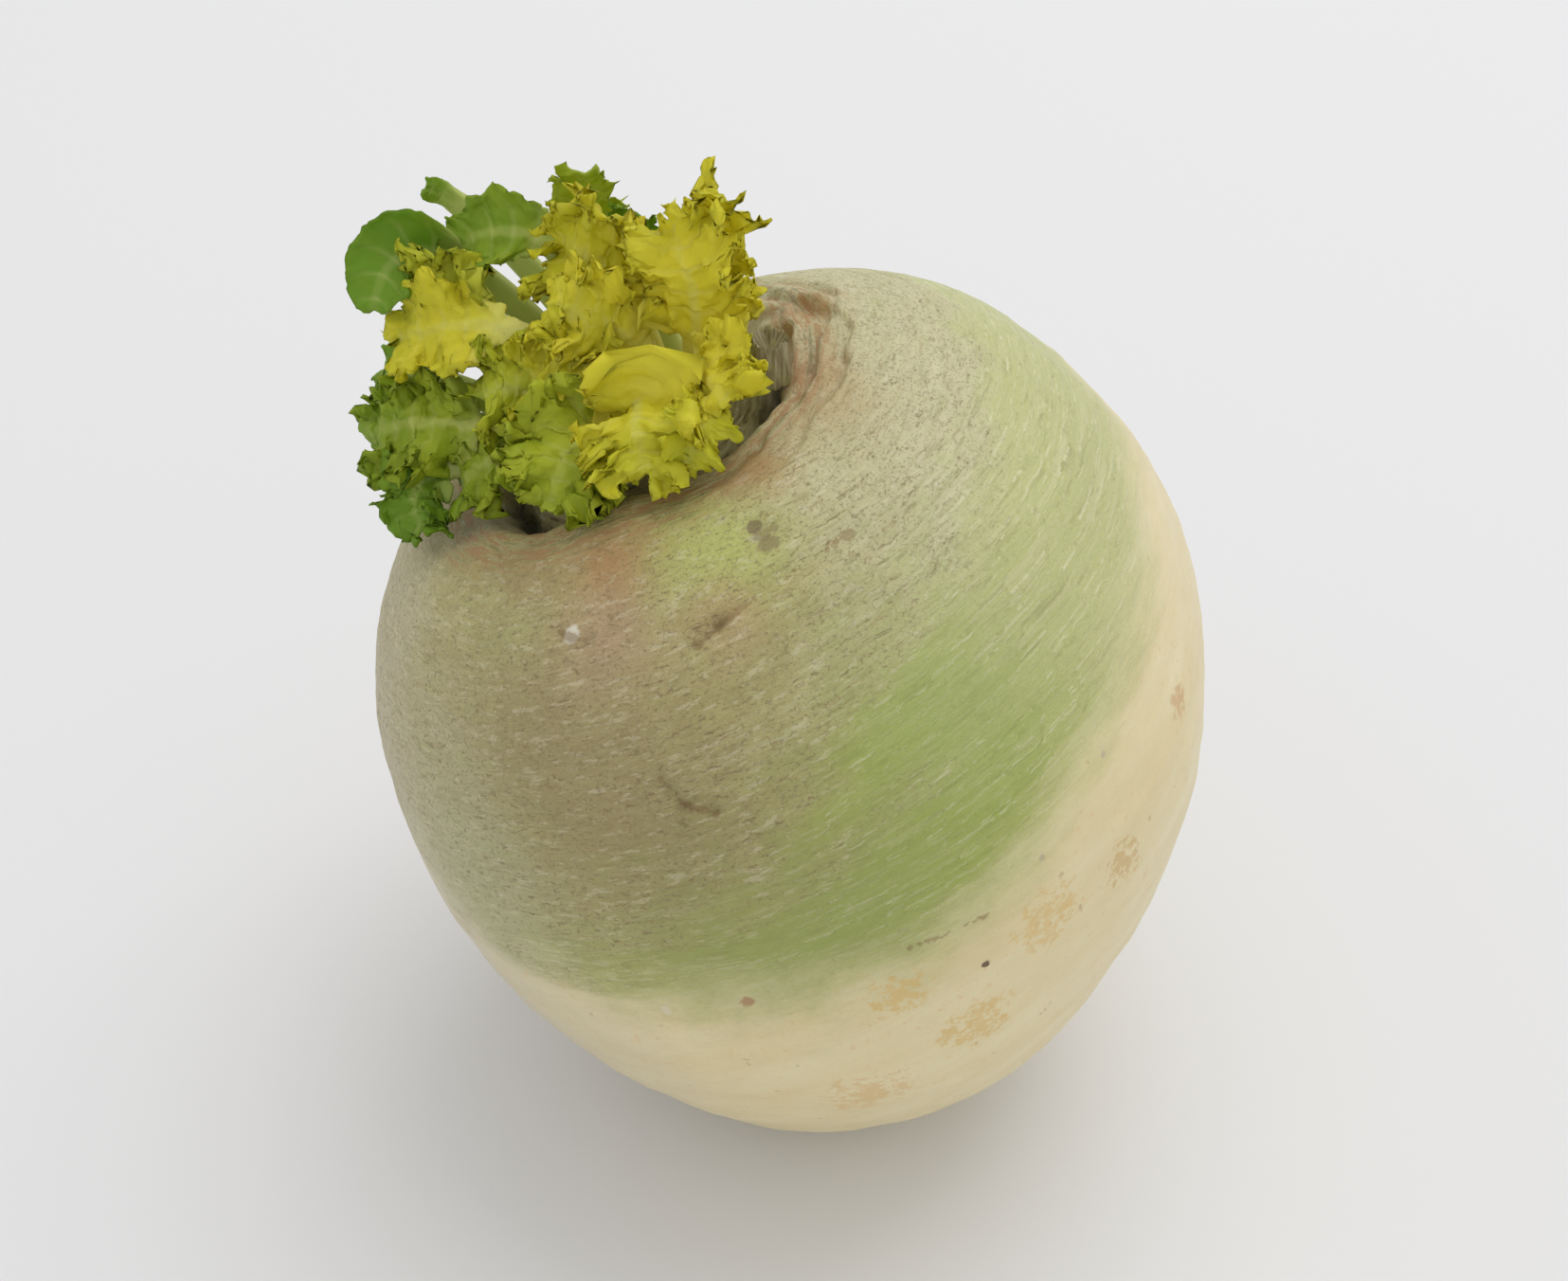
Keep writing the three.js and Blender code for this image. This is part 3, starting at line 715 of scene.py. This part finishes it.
def leafMaterial(kind):
    m, tree = newMaterial(kind)
    kept = ("leafEdge", "leafRun", "leafTone", "leafVein", "leafRib", "leafBlade")
    v, run, tone, vein, rib, blade = [attribute(tree, name) for name in kept]
    edge = v.abs()
    at = add(tree, "ShaderNodeTexCoord", {}, {}, "Object")
    mottle = grain(tree, at, 160.0, 3)
    hue = (tone + (mottle - 0.5) * 0.5 + (run - 0.6) * 0.35).held()
    yellow, green = (0.91, 0.83, 0.05), (0.22, 0.39, 0.025)
    lime = (0.60, 0.65, 0.035)
    colour = (hue * 2.0).most(1.0).blend(yellow, lime)
    colour = (hue * 2.0 - 1.0).least(0.0).blend(colour, green)
    pale = (0.86, 0.86, 0.30)
    deep = grain(tree, at, 420.0, 2)
    colour = (((deep - 0.5) * 4.0).held() * 0.12).blend(colour, (0.42, 0.38, 0.02))
    colour = (vein * 0.3 * (1.0 - edge)).blend(colour, pale)
    colour = ((1.0 - blade) * 0.8).blend(colour, pale)
    colour = (((rib - 0.35) * 2.0).held() * (1.15 - run) * 0.6).most(1.0).blend(colour, pale)
    surface = add(tree, "ShaderNodeBsdfPrincipled", {}, {
        "Base Color": colour, "Roughness": 0.5, "Specular IOR Level": 0.3})
    glow = add(tree, "ShaderNodeBsdfTranslucent", {}, {"Color": leafGlow[kind]})
    both = add(tree, "ShaderNodeMixShader", {}, {0: leafLook["glowShare"], 1: surface, 2: glow})
    finishMaterial(tree, both)
    return m


def makeLeaf(name, row, tree, place):
    foot, knee, tip, look, wide, stalk, cup, frill, waves, tone = row
    obj = bpy.data.objects.new(name + "Seed", bpy.data.meshes.new(name + "Seed"))
    bpy.context.scene.collection.objects.link(obj)
    mod = obj.modifiers.new("leaf", "NODES")
    mod.node_group = tree
    depth = 0.0 if name in smoothEdged else leafLook["toothDepth"]
    seed = leafLook["firstSeed"] + leafLook["seedStep"] * list(leaves).index(name)
    values = [foot, knee, tip, look, wide, stalk, cup, frill, waves, tone, depth, seed]
    sockets = [i for i in tree.interface.items_tree if i.in_out == "INPUT"][1:]
    for socket, value in zip(sockets, values):
        mod[socket.identifier] = [float(c) for c in value] if isinstance(value, tuple) else float(value)
    obj.data.update()
    seen = obj.evaluated_get(bpy.context.evaluated_depsgraph_get())
    mesh = bpy.data.meshes.new_from_object(seen)
    bpy.data.objects.remove(obj)
    mesh.transform(place)
    shown = bpy.data.objects.new(name + "Shown", mesh)
    bpy.context.scene.collection.objects.link(shown)
    return shown


stump = {
    "x": 20,
    "y": -6,
    "radius": 2.6,
    "height": 6,
    "hollow": 2.2,
    "wallShare": 0.62,
    "leanDeg": 25,
    "around": 72,
    "along": 40,
}


def makeStump(material, place):
    around, along = stump["around"], stump["along"]
    turn = np.tile(np.arange(around) * 2 * np.pi / around, along)
    rise = np.repeat(np.linspace(0, 1, along), around)
    side = np.minimum(rise / stump["wallShare"], 1)
    inner = np.clip((rise - stump["wallShare"]) / (1 - stump["wallShare"]), 0, 1)
    seat = np.stack([3 * np.cos(turn), 3 * np.sin(turn), rise * 8], 1)
    wave = cloud(seat * (1, 1, 0.2), 1.1, 6)
    radius = stump["radius"] * (1.0 - 0.12 * side + 0.14 * wave) * (1 - inner) ** 0.8
    ragged = 0.9 * cloud(seat * (1, 1, 0), 0.8, 9) * side ** 3
    height = stump["height"] * side - stump["hollow"] * inner ** 0.7 + ragged * (1 - inner)
    verts = np.stack([radius * np.cos(turn), radius * np.sin(turn), height], 1)
    verts = np.vstack([verts[:-around], [[0, 0, 0]], [[0, 0, stump["height"] - stump["hollow"]]]])
    tilt = Matrix.Rotation(math.radians(stump["leanDeg"]), 4, "Y")
    seated = place @ Matrix.Translation((stump["x"], stump["y"], 0)) @ tilt
    world = np.array([(seated @ Vector(p))[:] for p in verts])
    fibre = np.vstack([seat[:-around], [[0, 0, 0]], [[0, 0, 8]]])
    return newPiece("oldStalkStump", world, closedRings(along - 1, around), {"fibre": fibre}, material)


def stumpMaterial():
    m, tree = newMaterial("driedStalk")
    at = attribute(tree, "fibre", "Vector")
    strand = grain(tree, at * (1.0, 1.0, 0.12), 1.7, 5, 0.75)
    patch = grain(tree, at, 0.6, 3)
    colour = strand.ramp(0.35, 0.65).blend((0.20, 0.15, 0.07), (0.50, 0.45, 0.26))
    colour = ((patch - 0.5) * 3.0).held().blend(colour, (0.42, 0.42, 0.16))
    normal = bumped(tree, strand + patch * 0.4, 0.0003, 0.8)
    surface = add(tree, "ShaderNodeBsdfPrincipled", {}, {
        "Base Color": colour, "Roughness": 0.75, "Normal": normal})
    finishMaterial(tree, surface)
    return m


skin = skinMaterial()
bulbShown, middle = makeBulb(skin)
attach(bulbShown, "root")
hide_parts("root")
print("bulb ready,", len(bulbShown.data.polygons), "faces")

centre = Vector(middle.tolist()) * millimetre
crownRise = Matrix.Translation((0, 0, bulb["crownHeight"] * millimetre))
crownPlace = Matrix.Translation(centre) @ lean @ crownRise @ Matrix.Scale(millimetre, 4)
leafPlace = crownPlace @ Matrix.Scale(leafLook["scale"], 4)
leafTrees = {kind: leafTree(leafMaterial(kind)) for kind in leafGlow}
slotOf = {s["node"]: s["material_slot"] for s in frame["record"]["subparts"]}
for name, row in leaves.items():
    shown = makeLeaf(name, row, leafTrees[slotOf[name]], leafPlace)
    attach(shown, "root")
    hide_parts(name)
print("leaves ready,", len(leaves), "pieces")

stumpShown = makeStump(stumpMaterial(), crownPlace)
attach(stumpShown, "root")
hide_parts("stalk_old_stump")
print("stump ready,", len(stumpShown.data.polygons), "faces")

studio = {
    "floorSize": 12.0,
    "elevationDeg": 41,
    "distance": 0.312,
    "lens": 50,
    "slide": (-0.0035, 0.0088),
    "skyStrength": 0.74,
    "keyPlace": (0.45, 0.55, 1.9),
    "keyTarget": (0, 0, 0.05),
    "keySize": 1.5,
    "keyPower": 13.5,
}
floorMaterial, floorNodes = newMaterial("studioFloor")
matte = {"Base Color": (0.8, 0.8, 0.81), "Roughness": 0.9}
finishMaterial(floorNodes, add(floorNodes, "ShaderNodeBsdfPrincipled", {}, matte))
size = studio["floorSize"] / 2
corners = np.array([(-size, -size, 0), (size, -size, 0), (size, size, 0), (-size, size, 0)])
floor = newPiece("studioFloor", corners, np.array([(0, 1, 2, 3)]), {}, floorMaterial)

world = bpy.data.worlds.new("studioLight")
world.use_nodes = True
world.node_tree.nodes["Background"].inputs[0].default_value = (1.0, 1.0, 1.0, 1.0)
world.node_tree.nodes["Background"].inputs[1].default_value = studio["skyStrength"]
bpy.context.scene.world = world
bpy.context.scene.view_settings.view_transform = "Standard"

softbox = bpy.data.lights.new("softbox", "AREA")
softbox.shape, softbox.size, softbox.energy = "SQUARE", studio["keySize"], studio["keyPower"]
key = bpy.data.objects.new("keyLight", softbox)
key.location = studio["keyPlace"]
key.rotation_mode = "QUATERNION"
shining = Vector(studio["keyTarget"]) - Vector(studio["keyPlace"])
key.rotation_quaternion = shining.to_track_quat("-Z", "Y")
bpy.context.scene.collection.objects.link(key)

elevation = math.radians(studio["elevationDeg"])
back = Vector((0, -math.cos(elevation), math.sin(elevation)))
upward = Vector((0, math.sin(elevation), math.cos(elevation)))
camData = bpy.data.cameras.new("camera")
camData.lens = studio["lens"]
camera = bpy.data.objects.new("camera", camData)
slideRight, slideUp = studio["slide"]
camera.location = centre + back * studio["distance"] + Vector((slideRight, 0, 0)) + upward * slideUp
camera.rotation_mode = "QUATERNION"
camera.rotation_quaternion = (-back).to_track_quat("-Z", "Y")
bpy.context.scene.collection.objects.link(camera)
bpy.context.scene.camera = camera
print("studio ready")
